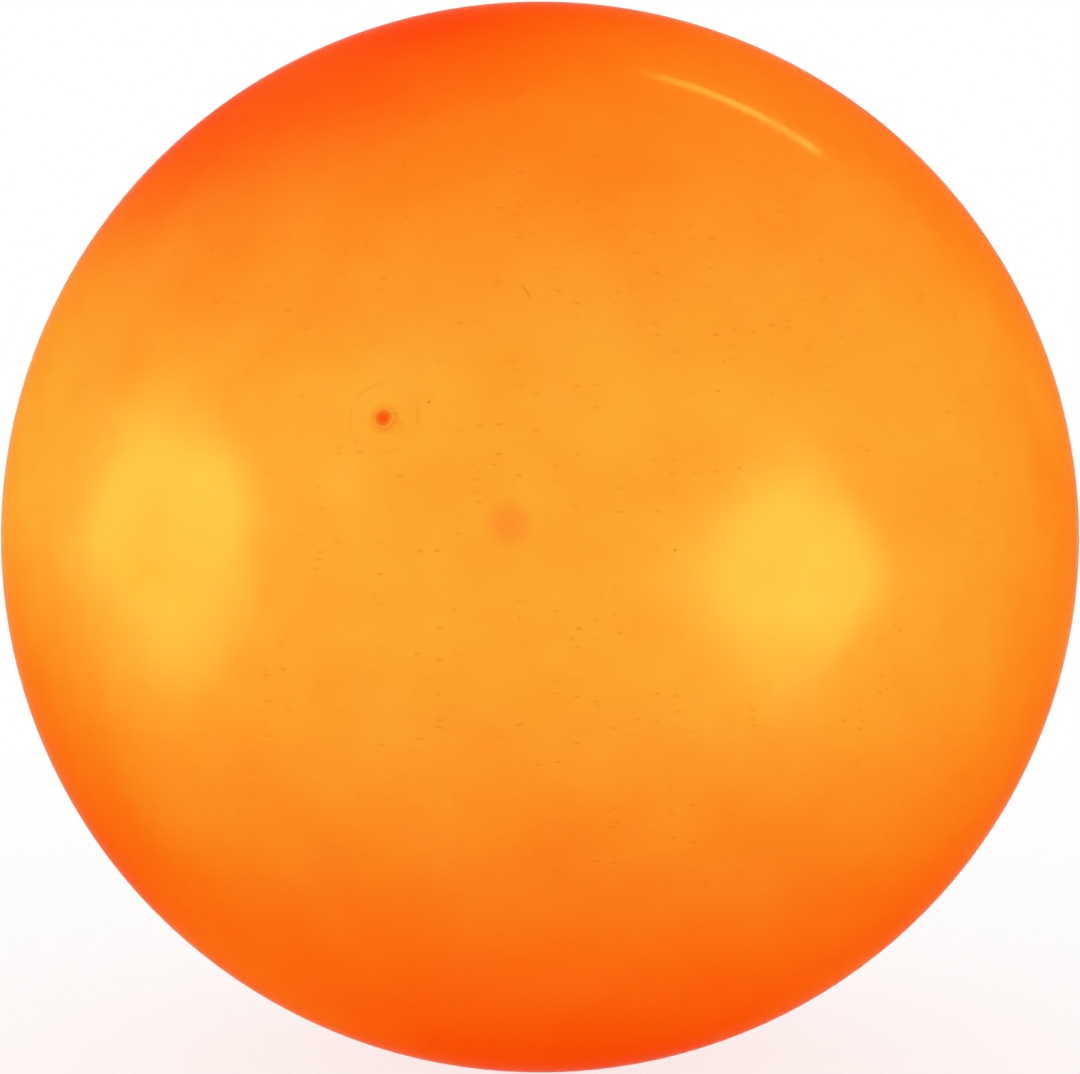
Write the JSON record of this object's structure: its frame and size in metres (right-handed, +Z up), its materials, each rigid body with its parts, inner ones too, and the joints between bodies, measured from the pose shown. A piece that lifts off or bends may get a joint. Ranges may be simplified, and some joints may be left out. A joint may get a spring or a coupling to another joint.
{
  "type": "giant inflatable ball",
  "caption": "Giant seamless inflatable ball of thin translucent stretch rubber that stands on its flattened foot, with a push-in stopper in a flap valve that keeps the air in.",
  "frame": {"origin": "on the floor under the middle of the ball, at the centre of its flat foot", "axes": "+Z up through the crown, -Y to the front that the valve is near, +X to the right as seen from the front"},
  "size_m": [0.76, 0.76, 0.752],
  "materials": {
    "film": "thin translucent film, satin gloss",
    "valve": "moulded, satin",
    "stopper": "moulded, satin",
    "inner": "moulded, matte"
  },
  "bodies": {
    "ball": {"ball_skin": "film", "valve_neck": "valve", "flap_strap": "inner", "closing_patch": "inner"},
    "stopper": {"valve_stopper": "stopper"},
    "flap": {"check_flap": "inner"}
  },
  "joints": [
    {"name": "stopper_pull", "type": "slide", "parent": "ball", "child": "stopper", "axis": [-0.2282, -0.958, 0.1736], "range_m": [0, 0.0125]},
    {"name": "flap_open", "type": "hinge", "parent": "ball", "child": "flap", "pos_m": [-0.08087, -0.33943, 0.44297], "axis": [0.9728, -0.2317, 0], "range_deg": [0, 55], "stiffness_Nm_per_rad": 0.0002, "springref_deg": -11.46}
  ]
}
